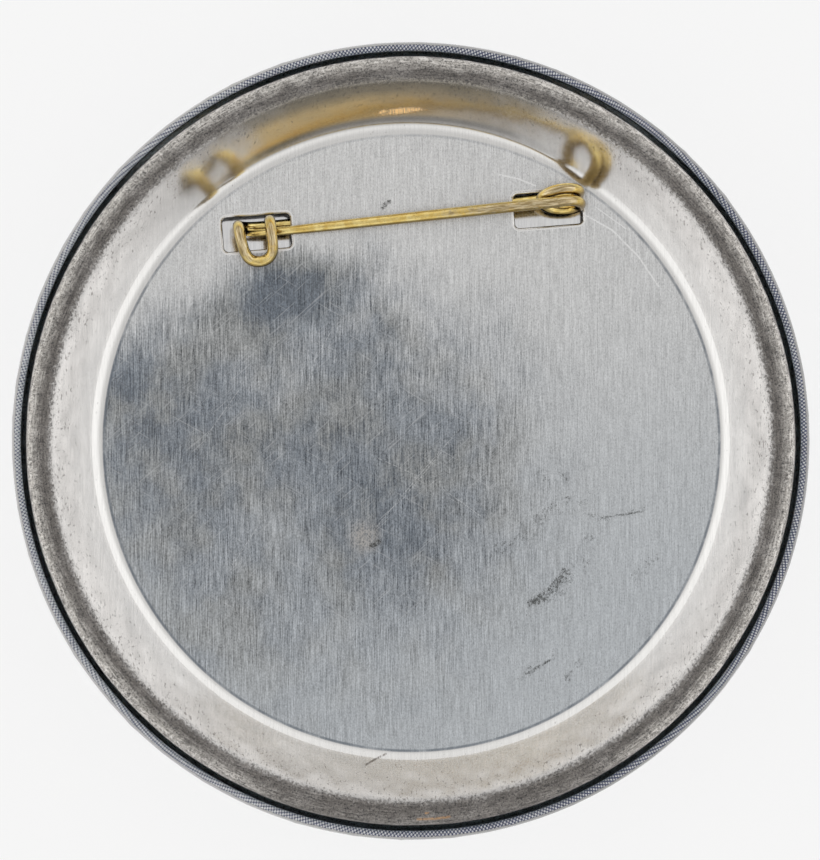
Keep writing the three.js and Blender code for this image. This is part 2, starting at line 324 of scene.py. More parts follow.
def plate_outline(depth):
    """The plate's face from the edge of the panel to the end of the flange, depth below the upper face."""
    flange_r = PLATE_RADIUS - depth
    flare = math.radians(34)
    fillet = arc(PANEL_RADIUS, PANEL_Z + FILLET_RADIUS, FILLET_RADIUS + depth, -90, -45, 10)
    inner = arc(RIM_START_R, RIM_Z - RIM_INNER_ROUND, RIM_INNER_ROUND - depth, 135, 90, 10)
    outer = arc(PLATE_RADIUS - RIM_OUTER_ROUND, RIM_Z - RIM_OUTER_ROUND, RIM_OUTER_ROUND - depth, 90, 0, 12)
    wall = []
    for i in range(1, 12):
        t = i / 12
        wall.append((
            fillet[-1][0] + t * (inner[0][0] - fillet[-1][0]),
            fillet[-1][1] + t * (inner[0][1] - fillet[-1][1]),
            -math.sqrt(0.5),
            math.sqrt(0.5),
        ))
    flange = [
        (flange_r, FLANGE_STRAIGHT_Z, 1.0, 0.0),
        (flange_r + FLANGE_FLARE, FLANGE_END_Z, math.cos(flare), math.sin(flare)),
    ]
    fillet = [(r, z, -nr, -nz) for r, z, nr, nz in fillet]
    return fillet + wall + inner + outer + flange


def rounded_slot(x, grow, corner_steps=10, side_steps=6):
    """Points round a slot, grown outwards by grow; the count doesn't depend on grow."""
    radius = SLOT_CORNER + grow
    cx, cy = SLOT_HALF[0] - SLOT_CORNER, SLOT_HALF[1] - SLOT_CORNER
    points = []
    for i, (sx, sy) in enumerate(((1, 1), (-1, 1), (-1, -1), (1, -1))):
        for k in range(corner_steps + 1):
            a = math.pi / 2 * (i + k / corner_steps)
            points.append((x + sx * cx + radius * math.cos(a), SLOT_Y + sy * cy + radius * math.sin(a)))
        px, py = points[-1]
        nx, ny = ((-1, 1), (-1, -1), (1, -1), (1, 1))[i]
        a = math.pi / 2 * (i + 1)
        qx = x + nx * cx + radius * math.cos(a)
        qy = SLOT_Y + ny * cy + radius * math.sin(a)
        for k in range(1, side_steps):
            t = k / side_steps
            points.append((px + t * (qx - px), py + t * (qy - py)))
    return points


def rim_wear_shift(r, z, nr, nz, angle):
    """Small knocks on the rim and a faint waviness in the pressed wall."""
    worn_r = PANEL_RADIUS + 0.5
    if r < worn_r:
        return 0.0, 0.0
    place = Vector((r * math.cos(angle), r * math.sin(angle), z))
    knock = noise.noise(place * 1.1) * 0.010 + noise.noise(place * 0.35) * 0.018
    share = min(1.0, (r - worn_r) / 2.0)
    return nr * knock * share, nz * knock * share


def slot_gap(x, y, slot_x):
    """How far outside a slot's edge a point lies; it is negative inside."""
    dx = max(0.0, abs(x - slot_x) - (SLOT_HALF[0] - SLOT_CORNER))
    dy = max(0.0, abs(y - SLOT_Y) - (SLOT_HALF[1] - SLOT_CORNER))
    return math.hypot(dx, dy) - SLOT_CORNER


def panel_grid():
    """Points spread over the panel, clear of its edge and of the slots."""
    spacing, reach, margin = 1.5, 21.0, 0.6
    steps = np.arange(-reach, reach + 0.1, spacing)
    points = []
    for x in steps:
        for y in steps:
            clear = all(abs(x - sx) > SLOT_HALF[0] + margin or abs(y - SLOT_Y) > SLOT_HALF[1] + margin
                        for sx in SLOT_XS)
            if math.hypot(x, y) < PANEL_RADIUS - 1.0 and clear:
                points.append(Vector((x, y)))
    return points


class PlateMesh:
    """Gathers the back plate's vertices and faces. A loop is a list of vertex numbers."""

    def __init__(self):
        self.vertices, self.faces = [], []

    def loop(self, points):
        start = len(self.vertices)
        self.vertices.extend(points)
        return list(range(start, len(self.vertices)))

    def level_loop(self, points, z):
        return self.loop([(x, y, z) for x, y in points])

    def join(self, a, b):
        for k in range(len(a)):
            n = (k + 1) % len(a)
            self.faces.append((a[k], a[n], b[n], b[k]))

    def turned_side(self, depth, segments):
        """The plate's face from the edge of the panel to the end of the flange; returns both ends' loops."""
        angles = [2 * math.pi * k / segments for k in range(segments)]
        edge_r = PANEL_RADIUS - PANEL_MARGIN
        edge = [(edge_r * math.cos(a), edge_r * math.sin(a)) for a in angles]
        margin = self.level_loop(edge, PANEL_Z - depth)
        previous = margin
        for r, z, nr, nz in plate_outline(depth):
            points = []
            for angle in angles:
                dr, dz = rim_wear_shift(r, z, nr, nz, angle)
                points.append(((r + dr) * math.cos(angle), (r + dr) * math.sin(angle), z + dz))
            current = self.loop(points)
            self.join(previous, current)
            previous = current
        return margin, previous

    def slot(self, x):
        """A slot with its rolled edge; returns the loops round it on the upper and the lower face."""
        outer = self.level_loop(rounded_slot(x, SLOT_ROLL + 0.11), PANEL_Z)
        rubbed = self.level_loop(rounded_slot(x, SLOT_ROLL + 0.06), PANEL_Z)
        previous = self.level_loop(rounded_slot(x, SLOT_ROLL), PANEL_Z)
        self.join(outer, rubbed)
        self.join(rubbed, previous)
        steps = 6
        for step in range(1, steps + 1):
            a = math.pi / 2 * step / steps
            drop = SLOT_ROLL * (1 - math.cos(a))
            current = self.level_loop(rounded_slot(x, SLOT_ROLL * (1 - math.sin(a))), PANEL_Z - drop)
            self.join(previous, current)
            previous = current
        bottom = self.level_loop(rounded_slot(x, 0.0), PANEL_Z - PLATE_SHEET)
        self.join(previous, bottom)
        return outer, bottom

    def flat_field(self, outer, holes, grown, z):
        """Fills the panel between its edge loop and the loops round the slots."""
        loops = [outer, *holes]
        edges, start = [], 0
        for loop in loops:
            count = len(loop)
            edges += [(start + k, start + (k + 1) % count) for k in range(count)]
            start += count
        used = [i for loop in loops for i in loop]
        corners = [Vector(self.vertices[i][:2]) for i in used]
        grid = panel_grid()
        used += self.level_loop([(g.x, g.y) for g in grid], z)
        points, _, triangles, originals, _, _ = geometry.delaunay_2d_cdt(corners + grid, edges, [], 0, 1e-7)
        for triangle in triangles:
            middle = sum((points[i] for i in triangle), Vector((0, 0))) / 3
            in_slot = any(slot_gap(middle.x, middle.y, sx) < grown for sx in SLOT_XS)
            if not in_slot and middle.length < PANEL_RADIUS:
                self.faces.append([used[originals[i][0]] for i in triangle])


def back_plate(material):
    mesh = PlateMesh()
    upper_start, upper_end = mesh.turned_side(0.0, 360 * FINE)
    lower_start, lower_end = mesh.turned_side(PLATE_SHEET, 360 * FINE)
    mesh.join(upper_end, lower_end)
    slots = [mesh.slot(x) for x in SLOT_XS]
    mesh.flat_field(upper_start, [top for top, _ in slots], SLOT_ROLL + 0.105, PANEL_Z)
    mesh.flat_field(lower_start, [bottom for _, bottom in slots], -0.005, PANEL_Z - PLATE_SHEET)
    obj = new_object("recessed_back", mesh.vertices, mesh.faces)
    add_lip(obj)
    return finish_piece(obj, material, "badge", "back_plate")


def add_lip(obj):
    """Marks the edge that the punch rolled over round each slot, where a painted highlight makes the tin
    bright.
    """
    values = []
    for vertex in obj.data.vertices:
        x, y, z = vertex.co / MM
        gap = min(slot_gap(x, y, slot_x) for slot_x in SLOT_XS)
        values.append(1.0 if gap < SLOT_ROLL + 0.08 and z > PANEL_Z - SLOT_ROLL * 0.8 else 0.0)
    store(obj, "slot_lip", "FLOAT", values)


# ---------------------------------------------------------------- spring wire

def coil_point(turns):
    """A point of the helix that the coil follows, so many turns from its lowest point."""
    angle = 2 * math.pi * turns
    up = COIL_RADIUS * (1 - math.cos(angle))
    along = COIL_PITCH * turns
    return Vector((
        COIL_X + COIL_RADIUS * math.sin(angle),
        COIL_START_Y + up * math.sin(COIL_LEAN) - along * math.cos(COIL_LEAN),
        COIL_START_Z + up * math.cos(COIL_LEAN) + along * math.sin(COIL_LEAN),
    ))


CATCH_ROUTE = (  # heights are given from the panel
    (-8.78, 16.50, -0.22),
    (-8.78, 16.53, 0.50),
    (-8.77, 16.52, 1.30),
    (-8.75, 16.32, 2.05),
    (-8.73, 15.65, 2.55),
    (-8.70, 14.95, 2.42),
    (-8.76, 14.30, 2.08),
    (-9.10, 13.84, 1.85),
    (-9.76, 13.66, 1.77),
    (-10.37, 13.86, 1.85),
    (-10.71, 14.40, 2.08),
    (-10.87, 15.05, 2.42),
    (-10.97, 15.70, 2.58),
    (-11.03, 16.20, 2.15),
    (-11.05, 16.34, 1.35),
    (-11.00, 16.32, 0.50),
    (-10.72, 16.24, -0.25),
    (-10.10, 16.18, -0.62),
)


def wire_route():
    """The fixed part of the wire: free end, catch, run behind the panel, coil."""
    catch = [Vector((x, y, PANEL_Z + z)) for x, y, z in CATCH_ROUTE]
    run = [
        Vector((-7.2, 16.18, RUN_Z)),
        Vector((0.0, 16.30, RUN_Z)),
        Vector((7.6, 16.42, RUN_Z)),
        Vector((10.4, 16.48, COIL_START_Z - COIL_APPROACH_DROP)),
    ]
    steps = 48
    coil = [coil_point(COIL_TURNS * i / steps) for i in range(steps + 1)]
    return catch + run + coil


def smooth_path(points, spacing):
    """A centripetal Catmull-Rom curve through the points, sampled at about the spacing."""
    ends = [points[0] * 2 - points[1], *points, points[-1] * 2 - points[-2]]
    path = []
    for i in range(len(points) - 1):
        p0, p1, p2, p3 = ends[i:i + 4]
        t0 = 0.0
        t1 = t0 + max((p1 - p0).length, 1e-4) ** 0.5
        t2 = t1 + max((p2 - p1).length, 1e-4) ** 0.5
        t3 = t2 + max((p3 - p2).length, 1e-4) ** 0.5
        count = max(1, round((p2 - p1).length / spacing))
        for k in range(count):
            t = t1 + (t2 - t1) * k / count
            a1 = p0 * ((t1 - t) / (t1 - t0)) + p1 * ((t - t0) / (t1 - t0))
            a2 = p1 * ((t2 - t) / (t2 - t1)) + p2 * ((t - t1) / (t2 - t1))
            a3 = p2 * ((t3 - t) / (t3 - t2)) + p3 * ((t - t2) / (t3 - t2))
            b1 = a1 * ((t2 - t) / (t2 - t0)) + a2 * ((t - t0) / (t2 - t0))
            b2 = a2 * ((t3 - t) / (t3 - t1)) + a3 * ((t - t1) / (t3 - t1))
            path.append(b1 * ((t2 - t) / (t2 - t1)) + b2 * ((t - t1) / (t2 - t1)))
    path.append(points[-1].copy())
    return path


def end_cap(row, direction, rounded):
    """The rings and the last point that close a wire: half a ball, or a small chamfer on a cut end."""
    point, tangent, across, radius, place = row
    if not rounded:
        chamfer = 0.12 * radius
        middle = point + tangent * (direction * chamfer)
        return [(middle, tangent, across, radius - chamfer, place)], middle
    rings, steps = [], 6
    for k in range(1, steps):
        a = math.pi / 2 * k / steps
        middle = point + tangent * (direction * radius * math.sin(a))
        rings.append((middle, tangent, across, radius * math.cos(a), place))
    return rings, point + tangent * (direction * radius)


def wire_rows(path, radii, tangents):
    """A row for each point of the path: place, direction, steady side direction, radius, length so far."""
    side = tangents[0].orthogonal().normalized()
    rows, travelled = [], 0.0
    for i, (point, tangent) in enumerate(zip(path, tangents)):
        if i:
            travelled += (point - path[i - 1]).length
        side = (side - tangent * side.dot(tangent)).normalized()
        rows.append((point, tangent, side.copy(), radii[i], travelled))
    return rows


def store_wear_and_shade(obj):
    """Marks the tops that rub on cloth, and, for painted shade, the sides that are turned down or to the near
    edge.
    """
    rubbed, painted_side_shade = [], []
    for vertex in obj.data.vertices:
        high = within((vertex.co.z / MM - PANEL_Z - 1.2) / 1.5)
        rubbed.append(high * within((vertex.normal.z - 0.25) / 0.6))
        turned_down = 0.66 - vertex.normal.z - 0.38 * vertex.normal.y
        painted_side_shade.append(0.85 * within(turned_down / 0.50))
    store(obj, "rubbed", "FLOAT", rubbed)
    store(obj, "painted_side_shade", "FLOAT", painted_side_shade)


def sweep(name, path, radii, sides, round_start, round_end, end_tangent=None):
    """A round wire along a path, with a radius at each point."""
    count = len(path)
    tangents = [(path[min(i + 1, count - 1)] - path[max(i - 1, 0)]).normalized() for i in range(count)]
    tangents[-1] = end_tangent or tangents[-1]
    rows = wire_rows(path, radii, tangents)
    start_rings, start_tip = end_cap(rows[0], -1, round_start)
    end_rings, end_tip = end_cap(rows[-1], 1, round_end)
    rows = start_rings[::-1] + rows + end_rings
    vertices, faces, along = [], [], []
    for point, tangent, across, radius, place in rows:
        other = tangent.cross(across)
        for k in range(sides):
            a = 2 * math.pi * k / sides
            vertices.append(point + (across * math.cos(a) + other * math.sin(a)) * radius)
            along.append((place, k / sides, radius))
    for i in range(len(rows) - 1):
        for k in range(sides):
            n = (k + 1) % sides
            faces.append((i * sides + k, i * sides + n, (i + 1) * sides + n, (i + 1) * sides + k))
    vertices += [start_tip, end_tip]
    along += [along[0], along[-1]]
    last = (len(rows) - 1) * sides
    for k in range(sides):
        n = (k + 1) % sides
        faces.append((n, k, len(vertices) - 2))
        faces.append((last + k, last + n, len(vertices) - 1))
    obj = new_object(name, vertices, faces, 50)
    store(obj, "wire_place", "FLOAT_VECTOR", [c for row in along for c in row])
    store_wear_and_shade(obj)
    return obj


def wire_radii(path, base):
    """Hand-worked wire isn't quite round or even: its radius varies by a few thousandths."""
    return [radius + 0.006 * noise.noise(point * 1.7) for point, radius in zip(path, base)]


def pin_wire(material):
    path = smooth_path(wire_route(), 0.09)
    direction = (ARM_TIP - HINGE).normalized()
    obj = sweep("catch_run_and_coil", path, wire_radii(path, [WIRE_RADIUS] * len(path)), 28, False, True,
                end_tangent=direction)
    return finish_piece(obj, material, "badge", "pin_wire")


def arm_radius(share):
    """The arm narrows a little towards the catch and ends in a worn point."""
    stations = ((0.0, 0.4), (0.3, 0.4), (0.78, 0.35), (0.92, 0.28), (0.985, 0.18), (1.0, 0.10))
    for (a, ra), (b, rb) in zip(stations, stations[1:]):
        if share <= b:
            return ra + (rb - ra) * (share - a) / (b - a)
    return stations[-1][1]


def pin_arm(material):
    steps = 220
    direction = (ARM_TIP - HINGE).normalized()
    path = [HINGE.lerp(ARM_TIP - direction * 0.1, i / steps) for i in range(steps + 1)]
    radii = wire_radii(path, [arm_radius(i / steps) for i in range(steps + 1)])
    radii[0] = WIRE_RADIUS + 0.006 * noise.noise(HINGE * 1.7)
    obj = sweep("pointed_arm", path, radii, 28, True, True)
    return finish_piece(obj, material, "pin", "pin_arm")


# ---------------------------------------------------------------- materials

class Shader:
    """Builds a material's or a world's nodes. A value may be a number, a colour or another node's socket."""

    def __init__(self, owner):
        owner.use_nodes = True
        self.tree = owner.node_tree
        self.tree.nodes.clear()

    def put(self, socket, value):
        if isinstance(value, bpy.types.NodeSocket):
            self.tree.links.new(value, socket)
        elif isinstance(value, tuple) and socket.type == "RGBA":
            socket.default_value = (*value, 1.0)
        elif value is not None:
            socket.default_value = value

    def add(self, kind, **settings):
        node = self.tree.nodes.new(kind)
        for key, value in settings.items():
            setattr(node, key, value)
        return node

    def math(self, operation, a, b=None, clamp=False):
        node = self.add("ShaderNodeMath", operation=operation, use_clamp=clamp)
        self.put(node.inputs[0], a)
        self.put(node.inputs[1], b)
        return node.outputs[0]

    def times(self, a, b):
        return self.math("MULTIPLY", a, b)

    def plus(self, a, b):
        return self.math("ADD", a, b)

    def minus(self, a, b):
        return self.math("SUBTRACT", a, b)

    def vector(self, operation, a, b=None, c=None, scale=None):
        node = self.add("ShaderNodeVectorMath", operation=operation)
        self.put(node.inputs[0], a)
        self.put(node.inputs[1], b)
        self.put(node.inputs[2], c)
        self.put(node.inputs[3], scale)
        return node.outputs["Value" if operation in ("DISTANCE", "DOT_PRODUCT") else "Vector"]

    def combine(self, *values):
        node = self.add("ShaderNodeCombineXYZ")
        for socket, value in zip(node.inputs, values):
            self.put(socket, value)
        return node.outputs[0]

    def parts(self, vector):
        node = self.add("ShaderNodeSeparateXYZ")
        self.put(node.inputs[0], vector)
        return tuple(node.outputs)

    def place(self, scale=(1, 1, 1), turn=0.0, shift=(0, 0, 0)):
        """The point on the piece at rest, in millimetres, turned about Z, scaled and shifted."""
        node = self.add("ShaderNodeMapping")
        source = self.add("ShaderNodeTexCoord").outputs["Object"]
        self.put(node.inputs["Vector"], self.vector("SCALE", source, scale=1 / MM))
        node.inputs["Rotation"].default_value = (0, 0, turn)
        return self.vector("MULTIPLY_ADD", node.outputs[0], scale, shift)

    def flat(self, vector):
        """The vector without its height."""
        return self.vector("MULTIPLY", vector, (1, 1, 0))

    def distance(self, vector, point):
        return self.vector("DISTANCE", vector, point)

    def attribute(self, name, output):
        return self.add("ShaderNodeAttribute", attribute_name=name).outputs[output]

    def noise(self, vector, scale=1.0, detail=2.0, roughness=0.5, output="Fac"):
        node = self.add("ShaderNodeTexNoise")
        self.put(node.inputs["Vector"], vector)
        node.inputs["Scale"].default_value = scale
        node.inputs["Detail"].default_value = detail
        node.inputs["Roughness"].default_value = roughness
        return node.outputs[output]

    def grain(self, scale, turn=0.0, shift=(0, 0, 0), detail=3, roughness=0.7):
        """Noise with a number of cells to the millimetre of its own along each direction."""
        return self.noise(self.place(scale, turn, shift), 1.0, detail, roughness)

    def ramp(self, value, low, high, out_low=0.0, out_high=1.0, smooth=True):
        kind = "SMOOTHSTEP" if smooth else "LINEAR"
        node = self.add("ShaderNodeMapRange", interpolation_type=kind)
        for socket, setting in zip(node.inputs, (value, low, high, out_low, out_high)):
            self.put(socket, setting)
        return node.outputs["Result"]

    def swing(self, value, amount):
        """Turns noise into a number from -amount to amount."""
        return self.ramp(value, 0.3, 0.7, -amount, amount, False)

    def mix(self, share, a, b):
        node = self.add("ShaderNodeMix", data_type="FLOAT")
        self.put(node.inputs[0], share)
        self.put(node.inputs[2], a)
        self.put(node.inputs[3], b)
        return node.outputs[0]

    def blend(self, share, a, b):
        node = self.add("ShaderNodeMix", data_type="RGBA")
        self.put(node.inputs[0], share)
        self.put(node.inputs[6], a)
        self.put(node.inputs[7], b)
        return node.outputs[2]

    def bump(self, height, depth_mm, normal=None):
        node = self.add("ShaderNodeBump")
        node.inputs["Strength"].default_value = 1.0
        node.inputs["Distance"].default_value = depth_mm * MM
        self.put(node.inputs["Height"], height)
        self.put(node.inputs["Normal"], normal)
        return node.outputs[0]

    def lean_normal(self, share, normal, towards):
        """The normal, leant towards a direction by a share."""
        node = self.add("ShaderNodeMix", data_type="VECTOR")
        self.put(node.inputs[0], share)
        self.put(node.inputs[4], normal)
        node.inputs[5].default_value = Vector(towards).normalized()
        return self.vector("NORMALIZE", node.outputs[1])

    def mix_shaders(self, share, a, b):
        node = self.add("ShaderNodeMixShader")
        for socket, value in zip(node.inputs, (share, a, b)):
            self.put(socket, value)
        return node.outputs[0]

    def principled(self, **inputs):
        shader = self.add("ShaderNodeBsdfPrincipled")
        for key, value in inputs.items():
            self.put(shader.inputs[key.replace("_", " ")], value)
        return shader.outputs[0]

    def finish(self, surface, kind="ShaderNodeOutputMaterial"):
        self.put(self.add(kind).inputs["Surface"], surface)


def start_material(name):
    material = bpy.data.materials.new(name)
    return material, Shader(material)


def stroke(sh, place, start, end, width):
    """1 along a short straight mark from start to end, falling to 0 at its edges."""
    run = Vector(end) - Vector(start)
    from_start = sh.vector("SUBTRACT", place, start)
    along = sh.vector("DOT_PRODUCT", from_start, run / run.length_squared)
    foot = sh.vector("SCALE", run, scale=sh.math("MULTIPLY", along, 1.0, clamp=True))
    return sh.ramp(sh.vector("DISTANCE", from_start, foot), width, width * 0.25)


def strokes(sh, level, marks):
    """Several strokes together; each mark is a list of (x, y) points and a width."""
    total = None
    for points, width in marks:
        for (ax, ay), (bx, by) in zip(points, points[1:]):
            one = stroke(sh, level, (ax, ay, 0.0), (bx, by, 0.0), width)
            total = one if total is None else sh.math("MAXIMUM", total, one)
    return total


def patches(sh, place, spots):
    """The sum of soft round spots, each (x, y, reach, strength)."""
    total = None
    for x, y, reach, strength in spots:
        one = sh.ramp(sh.distance(place, (x, y, 0.0)), reach, reach * 0.15, 0.0, strength)
        total = one if total is None else sh.plus(total, one)
    return total


# ---------------------------------------------------------------- tinplate of the back plate

PRESS_MIDDLE = (0.05, -0.16, 0.0)  # the panel was pressed a little off the middle of the disc
PRESS_RADIUS = 22.05
BRIGHT_SCRATCHES = (
    (((13.5, 15.3), (15.6, 13.9), (17.3, 11.9), (18.6, 9.6)), 0.085),
    (((7.9, 18.5), (9.2, 18.1), (10.4, 17.5)), 0.085),
    (((14.6, 15.6), (16.6, 13.9)), 0.05),
)
FAINT_SCRATCHES = (
    (((-7.2, 4.0), (-6.4, 6.3), (-5.1, 8.2)), 0.03),
    (((-3.0, -6.0), (0.6, -2.3), (3.6, 0.6)), 0.03),
    (((-14.5, 1.6), (-12.0, 4.6)), 0.035),
    (((-13.6, -8.0), (-11.4, -5.2)), 0.03),
    (((-2.5, -1.0), (1.5, -3.2), (4.6, -5.8)), 0.025),
    (((-1.0, -4.2), (2.2, -0.9)), 0.025),
)
THICK_SMUDGES = (
    (((7.6, -12.3), (8.2, -12.1)), 0.50),
    (((8.2, -12.1), (9.2, -11.5), (10.3, -10.3)), 0.70),
    (((-3.4, -7.3), (-2.9, -7.0)), 0.40),
    (((-0.6, 16.9), (-0.2, 17.2)), 0.35),
    (((6.9, -17.3), (8.6, -16.5)), 0.18),
    (((13.2, -6.6), (16.0, -6.4)), 0.16),
)
THIN_SMUDGES = (
    (((7.4, -12.6), (9.6, -11.4), (11.4, -9.6)), 1.3),
    (((11.0, -9.8), (12.3, -8.2)), 1.1),
    (((5.2, -8.4), (8.0, -7.4)), 0.9),
    (((8.4, -6.6), (10.6, -5.2), (12.4, -6.2)), 1.2),
    (((12.8, -6.7), (16.2, -6.3)), 0.5),
    (((15.2, -11.2), (16.6, -9.8)), 0.9),
    (((6.4, -17.5), (8.8, -16.3)), 0.6),
    (((9.8, -17.9), (10.8, -16.8)), 0.6),
    (((9.0, -3.2), (11.0, -3.6)), 0.8),
)
RUBBED_SPOT = ((-3.9, -6.6, 1.7, 1.0),)
DULL_SPOTS = (
    (-18.5, 0.5, 11.5, 0.75),
    (-20.5, 4.0, 5.5, 0.35),
    (-9.6, 10.4, 5.8, 0.80),
    (-8.6, 9.8, 3.6, 0.40),
    (-3.0, 9.4, 6.0, 0.55),
    (-3.3, 8.6, 2.0, -0.30),
    (0.5, 1.5, 13.5, 0.62),
    (4.0, -6.0, 12.0, 0.25),
    (-9.0, 2.0, 9.0, 0.35),
    (-8.0, -6.0, 21.0, 0.62),
    (-15.0, -12.0, 9.0, 0.30),
    (-15.5, 7.5, 7.0, 0.45),
    (-3.6, -6.5, 7.5, 0.35),
)
STILL_DULL_SPOTS = (  # these keep their place, where the others wander
    (-7.4, 12.3, 3.4, 1.00),
    (-4.9, 11.6, 3.6, 0.55),
    (-9.8, 11.5, 3.0, 0.50),
    (-20.6, 6.6, 3.2, 0.60),
)
GLINT = (1.2, 23.6, 0.0)  # a shallow dimple in the wall that catches the light, with a painted orange highlight in its colour
GLINT_SQUASH = (0.20, 1.5, 1.0)
WALL_CHIP = ((((-5.1, -22.85), (-4.3, -22.48), (-3.6, -22.2)), 0.11),)
RUST = (
    (((-1.7, -26.98), (-0.5, -27.05), (0.6, -27.0)), 0.13),
    (((-1.1, -26.6), (-0.9, -26.6)), 0.11),
)


def dull_cloud(sh, level, fine):
    """How dull the panel is, streaked along the grain: 0 where clear, 1 or more where blue-grey."""
    warp = sh.noise(level, 0.16, 4.0, output="Color")
    wandering = sh.vector("MULTIPLY_ADD", warp, (8.0, 8.0, 0.0), level)
    wandering = sh.vector("SUBTRACT", wandering, (4.0, 4.0, 0.0))
    cloud = patches(sh, wandering, DULL_SPOTS)
    cloud = sh.times(cloud, sh.ramp(sh.noise(level, 0.45, 5, 0.65), 0.30, 0.70, 0.80, 1.12))
    cloud = sh.plus(cloud, patches(sh, level, STILL_DULL_SPOTS))
    streak = sh.times(sh.swing(fine, -0.24), sh.ramp(cloud, 0.0, 0.5))
    return sh.math("MAXIMUM", sh.plus(cloud, streak), 0.0)


def panel_colour(sh, level, grains):
    """The flat panel: fine upright grain over a blue-grey cloud that leaves the top and the right clear."""
    fine, long_lines, mottle = grains
    cloud = dull_cloud(sh, level, fine)
    deep = sh.ramp(cloud, 1.0, 1.6, 0.0, 0.80)
    cloud = sh.math("MINIMUM", cloud, 1.0)
    hue = sh.ramp(sh.noise(level, 0.2, 3, 0.5), 0.40, 0.64)
    dull = sh.blend(hue, (0.300, 0.326, 0.360), (0.336, 0.346, 0.350))
    dull = sh.blend(deep, dull, (0.165, 0.190, 0.225))
    height = sh.parts(level)[1]
    clear = sh.blend(sh.ramp(height, -14.0, 18.0), (0.585, 0.615, 0.645), (0.775, 0.775, 0.775))
    tone = sh.plus(sh.ramp(fine, 0.25, 0.75, -0.40, 0.40, False), sh.swing(long_lines, 0.10))
    tone = sh.times(sh.plus(tone, sh.swing(mottle, 0.34)), sh.mix(cloud, 0.55, 1.25))
    colour = sh.vector("SCALE", sh.blend(cloud, clear, dull), scale=sh.plus(tone, 1.0))
    return panel_rubbing(sh, level, colour, cloud, mottle), cloud


def panel_rubbing(sh, level, colour, cloud, mottle):
    """Criss-cross rubbing, plainest where the tin is dull, one dry spot and stray dark specks."""
    rub_a = sh.grain((9.0, 0.30, 0.30), ROLL + 0.85, detail=2, roughness=0.5)
    rub_b = sh.grain((9.0, 0.25, 0.25), ROLL - 1.05, (4, 8, 2), detail=2, roughness=0.5)
    rub = sh.math("MAXIMUM", sh.ramp(rub_a, 0.61, 0.72), sh.ramp(rub_b, 0.62, 0.73))
    colour = sh.blend(sh.times(rub, sh.mix(cloud, 0.16, 0.34)), colour, (0.70, 0.71, 0.73))
    dry = sh.times(patches(sh, level, RUBBED_SPOT), sh.ramp(mottle, 0.40, 0.58, 0.2, 0.8))
    colour = sh.blend(dry, colour, (0.56, 0.53, 0.50))
    specks = sh.ramp(sh.grain((4.0, 3.0, 3.0), 0.0, (1, 5, 9)), 0.70, 0.76)
    return sh.blend(sh.times(specks, 0.55), colour, (0.12, 0.12, 0.12))


def panel_marks(sh, level, radius, colour, mottle):
    """Crumbly dark smudges and bright scratches on the panel; returns the scratches too."""
    crumbs = sh.grain((6.5, 5.0, 5.0), 0.5, (6, 2, 3), detail=5, roughness=0.95)
    clumps = sh.ramp(sh.grain((1.7, 1.7, 1.7), 0.0, (9, 4, 2)), 0.40, 0.60, 0.45, 1.0)
    thin = sh.times(sh.times(strokes(sh, level, THIN_SMUDGES), 0.155), clumps)
    thick = sh.times(strokes(sh, level, THICK_SMUDGES), sh.mix(clumps, 0.15, 0.23))
    crumbs = sh.plus(crumbs, sh.math("MAXIMUM", thin, thick))
    smudge = sh.times(sh.ramp(crumbs, 0.655, 0.75), sh.ramp(radius, 21.8, 21.4))
    colour = sh.blend(sh.times(smudge, 0.88), colour, (0.06, 0.06, 0.055))
    bright = sh.times(strokes(sh, level, BRIGHT_SCRATCHES), sh.ramp(mottle, 0.25, 0.50))
    faint = sh.times(strokes(sh, level, FAINT_SCRATCHES), sh.ramp(mottle, 0.35, 0.60, 0.0, 0.45))
    bright = sh.math("MAXIMUM", bright, faint)
    return sh.blend(sh.times(bright, 0.90), colour, (1.0, 1.0, 1.0)), bright


def painted_wire_reflection(sh, place, radius):
    """The wire's reflection, painted into the colour of the wall that faces the wire: its strength and its
    colour.
    """
    x, y, _ = sh.parts(place)
    lean = sh.grain((0.5, 0.16, 0.5), detail=4, roughness=0.6)
    facing = sh.plus(sh.math("DIVIDE", y, radius), sh.times(sh.minus(lean, 0.5), 0.16))
    share = sh.times(sh.ramp(facing, 0.82, 0.975), sh.ramp(radius, 22.7, 23.1))
    reflected_gold = sh.blend(sh.ramp(x, -3.0, 9.0), (0.88, 0.66, 0.31), (0.54, 0.49, 0.42))
    reflected_gold = sh.blend(sh.ramp(radius, 24.3, 25.4), reflected_gold, (0.36, 0.31, 0.22))
    reflected_gold = sh.blend(sh.ramp(radius, 23.5, 23.1), reflected_gold, (0.34, 0.33, 0.31))
    return sh.times(share, 0.85), reflected_gold


def wall_glint(sh, fine):
    """1 within the dimple and its painted highlight, with a torn edge."""
    middle = tuple(a * b for a, b in zip(GLINT, GLINT_SQUASH))
    gap = sh.distance(sh.flat(sh.place(GLINT_SQUASH)), middle)
    tear = sh.grain((3.0, 6.0, 3.0), 0.0, (5, 1, 2), detail=4, roughness=0.8)
    glint = sh.ramp(sh.plus(gap, sh.swing(tear, 0.16)), 0.42, 0.16)
    return sh.times(glint, sh.ramp(fine, 0.35, 0.60, 0.35, 1.0))


